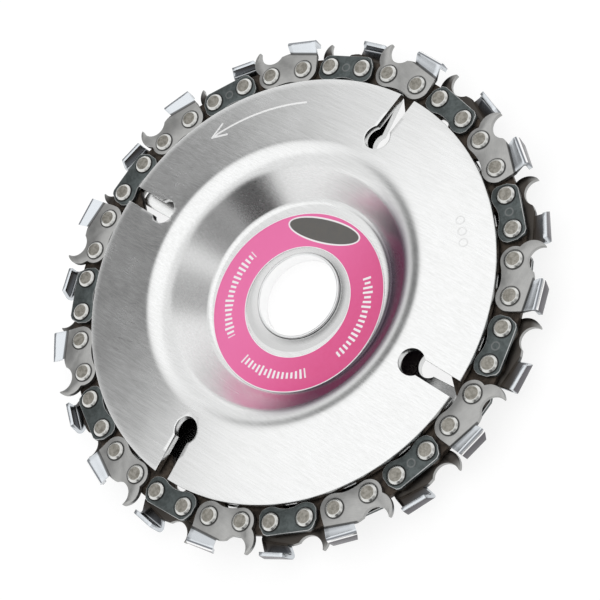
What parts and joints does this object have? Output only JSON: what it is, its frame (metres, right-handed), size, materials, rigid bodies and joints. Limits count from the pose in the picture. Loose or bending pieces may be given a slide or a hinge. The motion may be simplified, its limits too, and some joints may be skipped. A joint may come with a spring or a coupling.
{
  "type": "angle grinder carving disc",
  "caption": "Dished steel disc in two plates with a freewheeling loop of saw chain round its rim, a collared 5/8 inch arbor bore and a ring label.",
  "frame": {"origin": "middle of the flat back of the hub, on the arbor's axis, which is also the middle of the bottom of the object's box", "axes": "+Z along the arbor's axis, out of the label side; X and Y lie in the disc's plane, with +Y towards the engraved arrow"},
  "size_m": [0.1008, 0.1016, 0.0105],
  "materials": {
    "plate_steel": "satin, fine scratches",
    "collar_steel": "turned, satin",
    "label": "printed gloss sticker, pink with thin white borders",
    "cutter_chrome": "plated, satin on the flats and bright on the top plates",
    "strap_black": "blue-black oxide, low gloss",
    "drive_link_brown": "dark brown oxide, oiled",
    "rivet_steel": "satin flat tops with bright bevels"
  },
  "bodies": {
    "base": {"back_plate": "plate_steel", "hub_collar": "collar_steel"},
    "cover": {"front_plate": "plate_steel", "label": "label"},
    "chain": {"cutter_label_1": "cutter_chrome", "cutter_label_2": "cutter_chrome", "cutter_label_3": "cutter_chrome", "cutter_label_4": "cutter_chrome", "cutter_label_5": "cutter_chrome", "cutter_label_6": "cutter_chrome", "cutter_label_7": "cutter_chrome", "cutter_label_8": "cutter_chrome", "cutter_label_9": "cutter_chrome", "cutter_label_10": "cutter_chrome", "cutter_label_11": "cutter_chrome", "cutter_back_1": "cutter_chrome", "cutter_back_2": "cutter_chrome", "cutter_back_3": "cutter_chrome", "cutter_back_4": "cutter_chrome", "cutter_back_5": "cutter_chrome", "cutter_back_6": "cutter_chrome", "cutter_back_7": "cutter_chrome", "cutter_back_8": "cutter_chrome", "cutter_back_9": "cutter_chrome", "cutter_back_10": "cutter_chrome", "cutter_back_11": "cutter_chrome", "tie_strap_label_1": "strap_black", "tie_strap_label_2": "strap_black", "tie_strap_label_3": "strap_black", "tie_strap_label_4": "strap_black", "tie_strap_label_5": "strap_black", "tie_strap_label_6": "strap_black", "tie_strap_label_7": "strap_black", "tie_strap_label_8": "strap_black", "tie_strap_label_9": "strap_black", "tie_strap_label_10": "strap_black", "tie_strap_label_11": "strap_black", "tie_strap_back_1": "strap_black", "tie_strap_back_2": "strap_black", "tie_strap_back_3": "strap_black", "tie_strap_back_4": "strap_black", "tie_strap_back_5": "strap_black", "tie_strap_back_6": "strap_black", "tie_strap_back_7": "strap_black", "tie_strap_back_8": "strap_black", "tie_strap_back_9": "strap_black", "tie_strap_back_10": "strap_black", "tie_strap_back_11": "strap_black", "drive_links_a": "drive_link_brown", "drive_links_b": "drive_link_brown", "rivets_leading": "rivet_steel", "rivets_trailing": "rivet_steel"}
  },
  "joints": [
    {"name": "front_plate_lift", "type": "slide", "parent": "base", "child": "cover", "axis": [0, 0, 1], "range_m": [0, 0.015]},
    {"name": "chain_creep", "type": "hinge", "parent": "base", "child": "chain", "pos_m": [0, 0, 0.00615], "axis": [0, 0, 1], "continuous": true}
  ]
}
